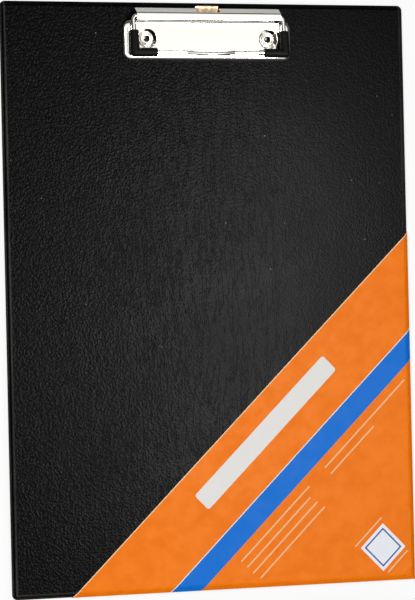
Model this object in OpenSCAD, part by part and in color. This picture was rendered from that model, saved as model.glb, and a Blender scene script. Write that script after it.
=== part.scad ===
// Clipboard for A4 sheets: a stiff core between two welded vinyl covers, with a riveted clip
// whose sprung wire bail swings up, a hanger that slides out past the top edge, and a paper
// wrap round one corner. It lies flat: X is across, Y runs up towards the clip, Z is up.
// Z = 0 is the plane under the rivet heads; X = 0, Y = 0 is the middle of the board.

/* [Board] */
// Width over the welded lip
board_w = 230; // [215:1:300]
// Length over the welded lip
board_l = 320; // [305:1:420]
// Thickness of the stiff core sheet
core_t = 3; // [2.2:0.1:5]
// Radius of the core's corners in plan
core_corner_r = 1.2; // [1.1:0.1:6]
// Radius of the core's crushed edges
core_edge_r = 1; // [0.5:0.1:1]
// Thickness of each vinyl cover
cover_t = 0.6; // [0.4:0.05:0.9]
// Width of the welded lip
lip_w = 1.2; // [0.8:0.1:3]
// Thickness of the welded lip, both covers together
lip_t = 0.9; // [0.6:0.05:1.2]

/* [Clip plate] */
// Width of the tray
tray_w = 95.4; // [92:0.2:110]
// Depth of the tray, front to back
tray_l = 21.4; // [21:0.2:28]
// Height of the tray's flat above the board
tray_h = 2.8; // [2.4:0.1:4]
// Plan radius of the tray's corners
tray_corner_r = 3; // [2.4:0.1:5]
// Radius of the tray's rolled top edges
tray_edge_r = 1.6; // [1.2:0.1:2]
// Sheet thickness of the plate
sheet_t = 0.7; // [0.5:0.05:0.9]
// Length of the ridge that holds the wire
ridge_l = 82; // [78:0.5:82.4]
// Depth of the ridge at the board, front to back
ridge_d = 8; // [7.6:0.1:10]
// Gap between the back of the ridge and the board's top edge
ridge_inset = 3.2; // [2:0.1:10]
// Depth of the ridge's flat crown
crown_d = 4; // [3.4:0.1:5]
// Radius of the ridge's bends, outside
ridge_r = 1.1; // [0.9:0.05:1.3]
// Lean of the ridge's front wall
front_lean = 0.9; // [0.2:0.1:1]
// Radius between the tray's flat and the ridge's front wall
ridge_root_r = 0.8; // [0.3:0.1:1]
// Height of the upright foot at the back of the ridge
foot_h = 1.9; // [1.7:0.1:2.4]
// Width of each saddle strip under the wire
saddle_w = 6; // [4:0.5:10]
// Distance of each saddle from the middle
saddle_x = 25; // [16:0.5:32]

/* [Rivets] */
// Distance of each rivet from the middle
rivet_x = 34.5; // [30:0.1:35]
// Distance of the rivets from the front of the tray
rivet_from_front = 11.5; // [10.5:0.1:12]
// Diameter of the shank
shank_d = 4; // [3.2:0.1:4.4]
// Diameter of the head on the back
rivet_head_d = 9; // [7:0.1:11]
// Thickness of the head on the back
rivet_head_t = 0.8; // [0.6:0.05:1.5]
// Diameter of the clinched ring
ring_d = 6.4; // [6:0.1:6.8]
// Diameter of the hollow in the rivet's end
hollow_d = 3; // [2:0.1:3]
// Diameter of the dish pressed into the tray, at its top
dish_d = 10.2; // [9.8:0.1:11]
// Diameter of the dish's flat floor
dish_floor_d = 7; // [6.9:0.1:7.6]
// Radius of the dish's rim
dish_rim_r = 0.7; // [0.3:0.1:0.8]
// Radius between the dish's wall and its floor
dish_root_r = 0.5; // [0.2:0.1:0.6]
// Clearance round the shank
shank_gap = 0.1; // [0.05:0.05:0.2]

/* [Wire bail] */
// Diameter of the wire
wire_d = 2.4; // [2:0.1:2.6]
// Distance between the middles of the two legs
leg_span = 85.2; // [85.2:0.2:87]
// Distance from the axle to the front bar
bail_reach = 20.3; // [20:0.1:21.4]
// Bend radius between axle and leg, at the wire's middle
axle_bend_r = 2.4; // [1.8:0.1:2.4]
// Bend radius between leg and bar, at the wire's middle
bar_bend_r = 1.5; // [1.4:0.1:2.2]
// Distance of each wire end from the middle, inside the ridge
axle_end_x = 9; // [8:0.5:14]
// Width of the finger bow in the front bar
bow_w = 28; // [20:0.5:34]
// Rise of the finger bow
bow_h = 2.2; // [1:0.1:3]
// Lean of the finger bow towards the front
bow_lean = 30; // [0:1:45]
// Radius of the bow's end bends
bow_bend_r = 5; // [4:0.5:8]
// Length of the straight ramp between each end bend and the bow's crown
bow_ramp = 3; // [1:0.5:5]
// Clearance between the wire and the saddles
saddle_gap = 0.15; // [0.1:0.05:0.3]
// Clearance between the wire and the inside of the crown
crown_gap = 0.3; // [0.25:0.05:0.6]

/* [Rubber corners] */
// Outer diameter of the sleeves
rubber_d = 5; // [4.4:0.1:5.4]
// Length of each arm of a sleeve, from its outer corner
rubber_arm = 14.6; // [12:0.1:15.4]
// Length of the rounding at the open ends
rubber_round = 0.5; // [0.2:0.1:0.8]
// Clearance between a sleeve and the wire
rubber_fit = 0.05; // [0.03:0.01:0.1]
// Clearance between a sleeve and the tray
rubber_gap = 0.2; // [0.15:0.05:0.4]

/* [Hanger] */
// Width of the hanger's tongue
tongue_w = 13.2; // [11:0.1:16]
// Thickness of the hanger
hanger_t = 0.8; // [0.6:0.05:1]
// Distance that the tip stands past the back of the ridge when pushed in
tip_out = 1.8; // [0.5:0.1:3]
// Height of the tip's arch
tip_arch = 0.5; // [0.3:0.1:2]
// Plan radius of the tip's corners
tip_corner_r = 1.8; // [0.5:0.1:3]
// Depth of the finger lip bent up at the tip
tip_lip_l = 1.6; // [0.8:0.1:1.8]
// Rise of the finger lip
tip_lip_h = 0.6; // [0.3:0.1:1]
// Diameter of the hanging hole
hang_hole_d = 7; // [4:0.1:8]
// Distance from the tip to the middle of the hole
hang_hole_in = 7.4; // [5.6:0.1:9]
// Travel of the hanger
hanger_travel = 20; // [15:0.5:20.5]
// Width of the stop at the tongue's inner end
stop_w = 20; // [18.5:0.5:26]
// Depth of the stop
stop_l = 4; // [2:0.1:4.2]
// Side clearance of the tongue in its notch
notch_gap = 0.25; // [0.15:0.05:0.5]
// Clearance above and below the hanger, and at its stop
slide_gap = 0.1; // [0.05:0.05:0.3]
// Distance of the tongue's window behind the ridge's crown
window_in = 0.6; // [0.5:0.1:1]
// Distance of the window's top below the top of the crown
window_drop = 1; // [0.9:0.1:2]

/* [Paper wrap] */
// Length of the wrap along the bottom edge
wrap_w = 197; // [120:1:200]
// Length of the wrap along the right edge
wrap_l = 193.5; // [120:0.5:200]
// Thickness of the paper
paper_t = 0.2; // [0.1:0.05:0.4]
// Clearance between the paper and the vinyl
paper_gap = 0.05; // [0.03:0.01:0.1]
// Depth of the flaps turned onto the back
flap_d = 20; // [8:0.5:40]

/* [Hidden] */
$fn = 48;
eps = 0.01;
// How far the tray runs on under the ridge
tray_tuck = 1.2;

// Heights
back_z = rivet_head_t;
half_t = core_t / 2 + cover_t;
mid_z = back_z + half_t;
face_z = mid_z + half_t;
tray_z = face_z + tray_h;
axle_z = tray_z + saddle_gap + wire_d / 2;
crown_z = axle_z + wire_d / 2 + crown_gap + sheet_t;

// Places along Y
ridge_back = board_l / 2 - ridge_inset;
ridge_front = ridge_back - ridge_d;
tray_back = ridge_front + tray_tuck;
tray_front = tray_back - tray_l;
rivet_y = tray_front + rivet_from_front;

// Cover edges: the cover wraps the core's edges at its own thickness
cover_edge_r = core_edge_r + cover_t;
cover_corner_r = core_corner_r + cover_t;
lip_corner_r = cover_corner_r + lip_w;

// Corners of the ridge's section, as [y, z], from the foot at the back over the crown.
// The section runs on below the board's face, where it is cut off.
crown_back = ridge_front + front_lean + crown_d;
ridge_points = [[ridge_back, mid_z], [ridge_back, face_z + foot_h], [crown_back, crown_z],
                [ridge_front + front_lean, crown_z], [ridge_front, tray_z], [ridge_front, mid_z]];

// The axle lies midway between the ridge's walls at its own height
function between(a, b, z) = a[0] + (b[0] - a[0]) * (z - a[1]) / (b[1] - a[1]);
axle_y = (between(ridge_points[1], ridge_points[2], axle_z)
          + between(ridge_points[3], ridge_points[4], axle_z)) / 2;

// At rest the inner end of each sleeve's side arm lies on the tray, so the wire slopes up to the bar
sleeve_in = bail_reach + rubber_d / 2 - rubber_arm + rubber_round;
bail_slope = atan(rubber_d / 2 / sleeve_in)
    - asin((wire_d / 2 + saddle_gap - rubber_gap) / norm([sleeve_in, rubber_d / 2]));

// The bow's crown arc and the angle of its ramps, from the tangents that join its circles
bow_sum_r = (pow(bow_w / 2, 2) + pow(bow_h, 2) - pow(bow_ramp, 2)) / (2 * bow_h);
bow_crown_r = bow_sum_r - bow_bend_r;
bow_a = atan2(bow_w / 2, bow_sum_r - bow_h) - atan(bow_ramp / bow_sum_r);

// Hanger places
tip_y = ridge_back + tip_out;
hanger_z = face_z + slide_gap;
stop_back = ridge_back - sheet_t - slide_gap - hanger_travel;
notch_w = tongue_w + 2 * notch_gap;

// Where a sheet stretched from the face to the lip leaves the face, as a distance from the lip's
// edge: it runs along the tangent from the lip's corner to the cover's round shoulder
arc_in = lip_w + cover_edge_r;
arc_h = half_t - cover_edge_r;
lip_dir = [arc_in, lip_t / 2 - arc_h];
tangent_a = atan2(lip_dir[1], lip_dir[0]) + acos(cover_edge_r / norm(lip_dir));
fold_in = arc_in - cover_edge_r * tan((90 - tangent_a) / 2);

// ---------- shared shapes ----------

module rounded_rect(w, l, r) {
    square([w - 2 * r, l], center = true);
    square([w, l - 2 * r], center = true);
    for (x = [-1, 1], y = [-1, 1])
        translate([x * (w / 2 - r), y * (l / 2 - r)]) circle(r);
}

// Section of a slab w wide and h high whose top edges are rounded by e
module slab_section(w, h, e) {
    translate([-w / 2, 0]) square([w, h - e]);
    translate([-w / 2 + e, 0]) square([w - 2 * e, h]);
    intersection() {
        for (s = [-1, 1]) translate([s * (w / 2 - e), h - e]) circle(e);
        translate([-w, 0]) square([2 * w, 2 * h]);
    }
}

// Slab with a flat bottom, plan corners of radius c and top edges of radius e
module soft_slab(w, l, h, c, e) {
    translate([-w / 2 + c, 0, 0]) rotate([90, 0, 90]) linear_extrude(w - 2 * c) slab_section(l, h, e);
    translate([0, l / 2 - c, 0]) rotate([90, 0, 0]) linear_extrude(l - 2 * c) slab_section(w, h, e);
    for (x = [-1, 1], y = [-1, 1]) translate([x * (w / 2 - c), y * (l / 2 - c), 0])
        rotate_extrude() intersection() {
            slab_section(2 * c, h, e);
            square([2 * c, 2 * h]);
        }
}

// Convex outline moved inwards by d, its corners listed anticlockwise
function turned(v) = [v[1], -v[0]] / norm(v);
function crossed(u, v) = u[0] * v[1] - u[1] * v[0];
function meet(p, u, q, v) = p + u * crossed(q - p, v) / crossed(u, v);
function inset(pts, d) = [for (i = [0 : len(pts) - 1])
    let (n = len(pts), a = pts[(i + n - 1) % n], b = pts[i], c = pts[(i + 1) % n], u = b - a, v = c - b)
    meet(b - turned(u) * d, u, b - turned(v) * d, v)];

// Convex outline with every corner rounded by r
module rounded_outline(pts, r) {
    q = inset(pts, r);
    n = len(q);
    polygon(q);
    for (i = [0 : n - 1]) {
        a = q[i];
        b = q[(i + 1) % n];
        out = turned(b - a) * r;
        polygon([a, b, b + out, a + out]);
        translate(a) circle(r);
    }
}

module at_rivets() {
    for (s = [-1, 1]) translate([s * rivet_x, rivet_y, 0]) children();
}

module rivet_holes() {
    at_rivets() cylinder(d = shank_d + 2 * shank_gap, h = 4 * face_z, center = true);
}

// ---------- board ----------

module core_half() {
    inset_w = 2 * (lip_w + cover_t);
    soft_slab(board_w - inset_w, board_l - inset_w, core_t / 2, core_corner_r, core_edge_r);
}

module core_board() {
    color("#9a8a70") difference() {
        translate([0, 0, mid_z]) union() {
            core_half();
            mirror([0, 0, 1]) core_half();
        }
        rivet_holes();
    }
}

module cover_half() {
    difference() {
        union() {
            linear_extrude(lip_t / 2) rounded_rect(board_w, board_l, lip_corner_r);
            soft_slab(board_w - 2 * lip_w, board_l - 2 * lip_w, half_t, cover_corner_r, cover_edge_r);
        }
        core_half();
    }
}

module front_cover() {
    color("#1c1c1c") difference() {
        translate([0, 0, mid_z]) cover_half();
        rivet_holes();
    }
}

module back_cover() {
    color("#232323") difference() {
        translate([0, 0, mid_z]) mirror([0, 0, 1]) cover_half();
        rivet_holes();
    }
}

// ---------- clip plate ----------

// The ridge as a solid bar, drawn in by d on every side
module ridge_bar(d, length) {
    intersection() {
        translate([-length / 2, 0, 0]) rotate([90, 0, 90]) linear_extrude(length)
            rounded_outline(inset(ridge_points, d), ridge_r - d);
        translate([0, ridge_back, face_z + crown_z / 2])
            cube([2 * length, 4 * ridge_d, crown_z], center = true);
    }
}

// Fillet between the tray's flat and the ridge's front wall: its circle touches both
module ridge_root() {
    wall = [front_lean, crown_z - tray_z];
    foot_z = tray_z + ridge_root_r * (1 - front_lean / norm(wall));
    foot = [ridge_front + (foot_z - tray_z) * front_lean / wall[1], foot_z];
    middle = foot - turned(wall) * ridge_root_r;
    low = tray_z - sheet_t / 2;
    translate([-ridge_l / 2, 0, 0]) rotate([90, 0, 90]) linear_extrude(ridge_l) difference() {
        polygon([[middle[0], low], [ridge_front + sheet_t / 2, low], foot + turned(wall) * sheet_t / 2,
                 foot, middle]);
        translate(middle) circle(ridge_root_r);
    }
}

// The tray as a solid block, drawn in by d on every side but the bottom
module tray_block(d) {
    translate([0, tray_front + tray_l / 2, face_z])
        soft_slab(tray_w - 2 * d, tray_l - 2 * d, tray_h - d, tray_corner_r - d, tray_edge_r - d);
}

// Dish pressed down to the board round each rivet, as a solid of revolution
module dish() {
    slope = (dish_d - dish_floor_d) / 2 / (tray_h - sheet_t);
    rotate_extrude() polygon([
        [0, 0], [dish_floor_d / 2 + sheet_t - slope * sheet_t, 0],
        [dish_d / 2 + sheet_t - slope * sheet_t, tray_h - sheet_t],
        [dish_d / 2 + sheet_t, tray_h], [0, tray_h]]);
}

// The dish's hollow: its wall is a cone, rounded into the floor below and over the rim above
module dish_hollow() {
    floor_r = dish_floor_d / 2;
    wall = [dish_d / 2 - floor_r, tray_h - sheet_t];
    run = wall[0] / wall[1];
    // The rim's circle touches the wall at its foot and the tray's flat above its middle
    foot_z = tray_h - dish_rim_r + dish_rim_r * wall[0] / norm(wall);
    foot_x = floor_r + (foot_z - sheet_t) * run;
    middle_x = foot_x + dish_rim_r * wall[1] / norm(wall);
    rotate_extrude() {
        intersection() {
            rounded_outline([[-floor_r, sheet_t], [floor_r, sheet_t],
                [floor_r + 2 * tray_h * run, sheet_t + 2 * tray_h], [-floor_r, sheet_t + 2 * tray_h]],
                dish_root_r);
            square([dish_d, tray_h + eps]);
        }
        difference() {
            polygon([[0, foot_z], [foot_x, foot_z], [middle_x, tray_h - dish_rim_r], [middle_x, tray_h + eps],
                     [0, tray_h + eps]]);
            translate([middle_x, tray_h - dish_rim_r]) circle(dish_rim_r);
        }
    }
}

module clip_base_plate() {
    color("#d8d8d4") difference() {
        union() {
            difference() {
                union() {
                    tray_block(0);
                    ridge_bar(0, ridge_l);
                }
                tray_block(sheet_t);
                ridge_bar(sheet_t, ridge_l + 2 * eps);
                throat();
            }
            for (s = [-1, 1])
                translate([s * saddle_x - saddle_w / 2, tray_back - sheet_t - eps, tray_z - sheet_t])
                    cube([saddle_w, ridge_back - sheet_t - tray_back, sheet_t]);
            at_rivets() translate([0, 0, face_z]) dish();
            ridge_root();
        }
        at_rivets() translate([0, 0, face_z]) dish_hollow();
        rivet_holes();
        notch();
    }
}

// Way for the hanger from the hollow under the tray into the hollow of the ridge
module throat() {
    translate([0, ridge_front + sheet_t, face_z])
        cube([ridge_l - 2 * sheet_t, 2 * sheet_t, 2 * (tray_h - sheet_t)], center = true);
}

// Window in the ridge's sloping back, with the hanger's way out below it
module notch() {
    translate([-notch_w / 2, crown_back + window_in, face_z - eps])
        cube([notch_w, 2 * ridge_d, crown_z - face_z - window_drop]);
}

module rivet() {
    floor_z = face_z + sheet_t;
    roll_r = (ring_d - hollow_d) / 4;
    difference() {
        union() {
            soft_disc(rivet_head_d, rivet_head_t);
            cylinder(d = shank_d, h = floor_z + roll_r);
            translate([0, 0, floor_z + roll_r]) rotate_extrude()
                translate([ring_d / 2 - roll_r, 0]) circle(roll_r);
        }
        translate([0, 0, mid_z]) cylinder(d = hollow_d, h = tray_z);
    }
}

// Flat disc whose lower rim is rounded
module soft_disc(d, t) {
    rotate_extrude() {
        square([d / 2 - t, t]);
        intersection() {
            translate([d / 2 - t, t]) circle(t);
            square([d, t]);
        }
    }
}

module rivet_left() {
    color("#c9c9c9") translate([-rivet_x, rivet_y, 0]) rivet();
}

module rivet_right() {
    color("#c9c9c9") translate([rivet_x, rivet_y, 0]) rivet();
}

// ---------- wire bail ----------

// Places the bail's own plane: X along the axle, Y from the axle towards the front bar, Z up
module in_bail_plane() {
    translate([0, axle_y, axle_z]) rotate([180 - bail_slope, 0, 0]) mirror([0, 0, 1]) children();
}

module rod_x(from, to, d) {
    translate([from, 0, 0]) rotate([0, 90, 0]) cylinder(d = d, h = to - from);
}

module rod_y(from, to, d) {
    translate([0, from, 0]) rotate([-90, 0, 0]) cylinder(d = d, h = to - from);
}

module bend(r, a, d) {
    rotate_extrude(angle = a, $fn = 96) translate([r, 0]) circle(d = d);
}

// Right half of the wire in the bail's plane
module half_wire(d) {
    leg_x = leg_span / 2;
    rod_x(axle_end_x, leg_x - axle_bend_r, d);
    translate([leg_x - axle_bend_r, axle_bend_r, 0]) rotate(-90) bend(axle_bend_r, 90, d);
    translate([leg_x, 0, 0]) rod_y(axle_bend_r, bail_reach - bar_bend_r, d);
    translate([leg_x - bar_bend_r, bail_reach - bar_bend_r, 0]) bend(bar_bend_r, 90, d);
    translate([0, bail_reach, 0]) {
        rod_x(bow_w / 2, leg_x - bar_bend_r, d);
        rotate([90 - bow_lean, 0, 0]) {
            translate([bow_w / 2, bow_bend_r, 0]) rotate(-90 - bow_a) {
                bend(bow_bend_r, bow_a, d);
                for (a = [0, bow_a]) rotate(a) translate([bow_bend_r, 0, 0]) tie(d);
            }
            translate([0, bow_h - bow_crown_r, 0]) rotate(-bow_a) translate([0, bow_crown_r, 0]) {
                rod_x(0, bow_ramp, d);
                tie(d);
            }
        }
    }
}

// Crown of the finger bow, in the bail's plane
module bow_crown(d) {
    translate([0, bail_reach, 0]) rotate([90 - bow_lean, 0, 0])
        translate([0, bow_h - bow_crown_r, 0]) rotate(90 - bow_a) bend(bow_crown_r, 2 * bow_a, d);
}

// Ball a hair wider than the wire, where two stretches of it meet at an odd angle
module tie(d) {
    sphere(d = d + 4 * eps);
}

module wire_bail() {
    color("#dcdcd8") in_bail_plane() {
        half_wire(wire_d);
        mirror([1, 0, 0]) half_wire(wire_d);
        bow_crown(wire_d);
    }
}

// L sleeve on the right front corner of the wire
module rubber_corner() {
    arm = rubber_arm - rubber_d / 2;
    in_bail_plane() difference() {
        translate([leg_span / 2, bail_reach, 0]) {
            sphere(d = rubber_d);
            for (a = [0, -90]) rotate([90, 0, a]) {
                cylinder(d = rubber_d, h = arm - rubber_round);
                translate([0, 0, arm - rubber_round])
                    cylinder(d1 = rubber_d, d2 = rubber_d - 2 * rubber_round, h = rubber_round);
            }
        }
        half_wire(wire_d + 2 * rubber_fit);
    }
}

module rubber_corner_right() {
    color("#161616") rubber_corner();
}

module rubber_corner_left() {
    color("#161616") mirror([1, 0, 0]) rubber_corner();
}

// ---------- hanger ----------

// Plan of the tongue, with its arched tip and round corners
module tongue_plan() {
    arch_r = (pow(tongue_w / 2, 2) + pow(tip_arch, 2)) / (2 * tip_arch);
    reach = tip_y - stop_back + stop_l;
    intersection() {
        translate([0, tip_y - reach / 2]) rounded_rect(tongue_w, reach, tip_corner_r);
        translate([0, tip_y - arch_r]) circle(arch_r, $fn = 180);
    }
}

// Section of the tongue along its length: flat strip, its end bent up as a finger lip
module tongue_section() {
    lip_r = (pow(tip_lip_l, 2) + pow(tip_lip_h, 2)) / (2 * tip_lip_h);
    lip_start = tip_y - tip_lip_l;
    flat_start = stop_back - stop_l;
    translate([flat_start, 0]) square([lip_start - flat_start, hanger_t]);
    intersection() {
        translate([lip_start, hanger_t + lip_r]) difference() {
            circle(lip_r + hanger_t);
            circle(lip_r);
        }
        translate([lip_start, 0]) square([tip_lip_l, hanger_t + tip_lip_h]);
    }
}

module hanger() {
    color("#b9aa90") translate([0, 0, hanger_z]) difference() {
        union() {
            intersection() {
                rotate([90, 0, 90]) linear_extrude(2 * tongue_w, center = true) tongue_section();
                linear_extrude(2 * (hanger_t + tip_lip_h), center = true) tongue_plan();
            }
            translate([-stop_w / 2, stop_back - stop_l, 0]) cube([stop_w, stop_l, hanger_t]);
        }
        translate([0, tip_y - hang_hole_in, -hanger_t]) cylinder(d = hang_hole_d, h = 3 * hanger_t);
    }
}

// ---------- paper wrap ----------

// Section through the board with the paper stretched over it, grown by d, for a board w wide
module wrap_section(w, d) {
    x1 = w / 2 - fold_in;
    x2 = w / 2 + d;
    polygon([[-x1, half_t + d], [-x2, lip_t / 2 + d], [-x2, -lip_t / 2 - d], [-x1, -half_t - d],
             [x1, -half_t - d], [x2, -lip_t / 2 - d], [x2, lip_t / 2 + d], [x1, half_t + d]]);
}

module wrapped_board(d) {
    translate([0, 0, mid_z]) intersection() {
        rotate([90, 0, 90]) linear_extrude(2 * board_w, center = true) wrap_section(board_l, d);
        rotate([90, 0, 0]) linear_extrude(2 * board_l, center = true) wrap_section(board_w, d);
    }
}

module corner_label() {
    edge_x = board_w / 2;
    edge_y = -board_l / 2;
    over = 5;
    // The cut runs on past both edges at its own slope
    over_w = over * wrap_w / wrap_l;
    over_l = over * wrap_l / wrap_w;
    color("#f0781c") difference() {
        intersection() {
            difference() {
                wrapped_board(paper_gap + paper_t);
                wrapped_board(paper_gap);
            }
            linear_extrude(4 * face_z) polygon([[edge_x - wrap_w - over_w, edge_y - over],
                [edge_x + over, edge_y - over], [edge_x + over, edge_y + wrap_l + over_l]]);
        }
        translate([edge_x - flap_d - 2 * board_w, edge_y + flap_d, mid_z - 4 * face_z])
            cube([2 * board_w, 2 * board_l, 4 * face_z]);
    }
}

core_board();
front_cover();
back_cover();
clip_base_plate();
rivet_left();
rivet_right();
wire_bail();
rubber_corner_left();
rubber_corner_right();
hanger();
corner_label();
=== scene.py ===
# A4 clipboard lying on a pale table: vinyl covers, chrome clip, rubber sleeves and a paper wrap
import bpy
import numpy as np
from mathutils import Matrix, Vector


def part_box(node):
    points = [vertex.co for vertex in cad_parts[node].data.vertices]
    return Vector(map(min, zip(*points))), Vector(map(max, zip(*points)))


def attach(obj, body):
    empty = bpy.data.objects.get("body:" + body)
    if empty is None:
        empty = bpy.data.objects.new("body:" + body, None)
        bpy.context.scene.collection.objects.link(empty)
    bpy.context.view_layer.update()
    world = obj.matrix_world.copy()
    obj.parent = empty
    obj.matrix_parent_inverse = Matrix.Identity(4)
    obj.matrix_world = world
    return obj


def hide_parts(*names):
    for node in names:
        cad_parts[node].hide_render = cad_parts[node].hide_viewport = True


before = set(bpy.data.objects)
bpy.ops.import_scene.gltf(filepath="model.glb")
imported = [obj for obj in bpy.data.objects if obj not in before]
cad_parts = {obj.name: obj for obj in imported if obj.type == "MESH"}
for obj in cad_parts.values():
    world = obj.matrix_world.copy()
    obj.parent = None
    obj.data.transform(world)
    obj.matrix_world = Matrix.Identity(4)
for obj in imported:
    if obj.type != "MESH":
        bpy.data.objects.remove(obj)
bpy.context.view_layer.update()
scene = bpy.context.scene
mm = 0.001  # every size below is in millimetres
print("frame loaded with", len(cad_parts), "nodes")


# shapes as arrays of points and faces, in millimetres

def millimetres(node):
    low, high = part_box(node)
    return np.array(low) / mm, np.array(high) / mm


def ease(t):
    # 3 t^2 - 2 t^3, held at 0 and 1
    t = np.clip(t, 0, 1)
    return t * t * (3 - 2 * t)


def unit(v):
    return v / np.linalg.norm(v, axis=-1, keepdims=True)


def gridLines(low, high, step, marks=()):
    # places from low to high about step apart; each mark (from, to, count) is cut into count equal parts
    lines = []
    here = low
    for start, stop, count in sorted(marks):
        lines.append(np.linspace(here, start, max(1, round((start - here) / step)), endpoint=False))
        lines.append(np.linspace(start, stop, count, endpoint=False))
        here = stop
    lines.append(np.linspace(here, high, max(1, round((high - here) / step)) + 1))
    return np.concatenate(lines)


def gridFaces(rows, cols, wrap=False):
    # one quad for each cell of a grid of points stored row by row; wrap joins the last column to the first
    i, j = np.meshgrid(np.arange(rows - 1), np.arange(cols if wrap else cols - 1), indexing="ij")
    k = (j + 1) % cols
    return np.stack([i * cols + j, i * cols + k, (i + 1) * cols + k, (i + 1) * cols + j], -1)


def roundedGrid(width, length, corner, insets, xs, ys):
    # grid over a rectangle with round corners: ring k lies insets[k] inside the outline, the last ring
    # being the corner radius, and xs, ys are the lines between the rings. In a corner each ring is an arc
    # of radius corner - insets[k], shared out evenly by angle. Returns X, Y and the ring numbers.
    last = len(insets) - 1
    ring = np.arange(last + 1)
    even = corner * ring / last

    def lines(size, inner):
        flat = np.concatenate([insets - size / 2, inner, (size / 2 - insets)[::-1]])
        number = np.concatenate([ring, np.full(len(inner), last), ring[::-1]])
        return flat, number

    flatX, ringX = lines(width, xs)
    flatY, ringY = lines(length, ys)
    flatX, flatY = np.meshgrid(flatX, flatY)
    ringX, ringY = np.meshgrid(ringX, ringY)
    rings = np.minimum(ringX, ringY)
    across, along = corner - even[ringX], corner - even[ringY]
    inCorner = (ringX < last) & (ringY < last)
    reach = np.where(inCorner, (corner - insets[rings]) / np.maximum(np.hypot(across, along), 1e-9), 0)
    X = np.where(inCorner, np.sign(flatX) * (width / 2 - corner + reach * across), flatX)
    Y = np.where(inCorner, np.sign(flatY) * (length / 2 - corner + reach * along), flatY)
    return X, Y, rings


def roundedPath(corners, radii, steps=6):
    # polyline whose inner corners become arcs, each starting radius x tan(half the turn) before its corner
    corners = np.array(corners, float)
    path = [corners[:1]]
    for before, corner, after, radius in zip(corners, corners[1:], corners[2:], radii):
        u, v = unit(corner - before), unit(after - corner)
        turn = np.arccos(np.clip(u @ v, -1, 1))
        centre = corner + unit(v - u) * radius / np.cos(turn / 2)
        start = corner - u * radius * np.tan(turn / 2) - centre
        stop = corner + v * radius * np.tan(turn / 2) - centre
        t = np.linspace(0, 1, steps + 1)[:, None]
        path.append(centre + (np.sin((1 - t) * turn) * start + np.sin(t * turn) * stop) / np.sin(turn))
    path.append(corners[-1:])
    return np.concatenate(path)


def squareLoop(half, count):
    # outline of a square, anticlockwise, count points on each side
    side = np.linspace(-half, half, count, endpoint=False)
    edge = np.full(count, half)
    return np.concatenate([np.stack(pair, 1) for pair in
                           ((side, -edge), (edge, side), (-side, edge), (-edge, -side))])


def ringPatch(centre, loop, profile):
    # sheet between a closed outline and a round hole: the outline, then a circle for each (radius, height)
    profile = np.array(profile, float)
    rows = np.concatenate([loop[None], unit(loop)[None] * profile[:, :1, None]])
    heights = np.concatenate([profile[:1, 1], profile[:, 1]])[:, None, None]
    points = np.concatenate([rows + centre, np.broadcast_to(heights, rows[..., :1].shape)], -1)
    return points.reshape(-1, 3), gridFaces(len(rows), len(loop), wrap=True).reshape(-1, 4)


def joined(patches):
    # several (points, quads) as one
    starts = np.cumsum([0] + [len(points) for points, quads in patches])
    moved = [quads.reshape(-1, 4) + start for (points, quads), start in zip(patches, starts)]
    return np.concatenate([points for points, quads in patches]), [np.concatenate(moved)]


def withoutDoubles(faces):
    # a quad that lost one corner becomes a triangle, and one that lost two is dropped
    kept = []
    for face in faces:
        same = face == np.roll(face, -1, axis=1)
        lost = same.sum(1)
        kept.append(face[lost == 0])
        if face.shape[1] == 4:
            kept.append(face[lost == 1][~same[lost == 1]].reshape(-1, 3))
    return [face for face in kept if len(face)]


def weld(points, faces, *twins):
    # points within a micrometre become one and unused ones go; twins are arrays that follow the points
    keys = np.round(points * 1000 + 0.31).astype(np.int64)
    _, first, back = np.unique(keys, axis=0, return_index=True, return_inverse=True)
    faces = [back.ravel()[face] for face in faces]
    used = np.unique(np.concatenate([face.ravel() for face in faces]))
    number = np.zeros(len(first), int)
    number[used] = np.arange(len(used))
    pick = first[used]
    return [points[pick], withoutDoubles([number[face] for face in faces])] + [twin[pick] for twin in twins]


def pointNormals(points, faces):
    # the cross products of the faces' diagonals, added up at each point
    total = np.zeros_like(points)
    for face in faces:
        normal = np.cross(points[face[:, 2]] - points[face[:, 0]], points[face[:, -1]] - points[face[:, 1]])
        for k in range(face.shape[1]):
            np.add.at(total, face[:, k], normal)
    return unit(total)


def shell(outer, inner, faces):
    # two skins of one sheet, the inner one turned over, with walls along the open edges
    count = len(outer)
    edges = np.concatenate([np.stack([face[:, k], face[:, (k + 1) % face.shape[1]]], 1)
                            for face in faces for k in range(face.shape[1])])
    keys = np.sort(edges, 1) @ np.array([count, 1])
    _, index, uses = np.unique(keys, return_index=True, return_counts=True)
    rim = edges[index[uses == 1]]
    walls = np.stack([rim[:, 1], rim[:, 0], rim[:, 0] + count, rim[:, 1] + count], 1)
    return np.concatenate([outer, inner]), faces + [face[:, ::-1] + count for face in faces] + [walls]


def sweep(path, radii, sections, upright):
    # tube round a path: each ring stands on the normals upright x tangent and tangent x that
    steps = unit(np.diff(path, axis=0) + 1e-12)
    tangents = unit(np.concatenate([steps[:1], steps[:-1] + steps[1:], steps[-1:]]))
    side = unit(np.cross(upright, tangents))
    lift = np.cross(tangents, side)
    angles = np.arange(sections) * 2 * np.pi / sections
    ring = side[:, None] * np.cos(angles)[None, :, None] + lift[:, None] * np.sin(angles)[None, :, None]
    points = path[:, None] + ring * radii[:, None, None]
    return points.reshape(-1, 3), [gridFaces(len(path), sections, wrap=True).reshape(-1, 4)]


def revolve(profile, centre, sections):
    # profile of (radius, height) turned about an upright axis
    angles = np.arange(sections) * 2 * np.pi / sections
    radius, height = np.array(profile, float).T
    points = np.stack([np.outer(radius, np.cos(angles)) + centre[0],
                       np.outer(radius, np.sin(angles)) + centre[1],
                       np.outer(height, np.ones(sections))], -1)
    return points.reshape(-1, 3), [gridFaces(len(radius), sections, wrap=True).reshape(-1, 4)]


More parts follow.
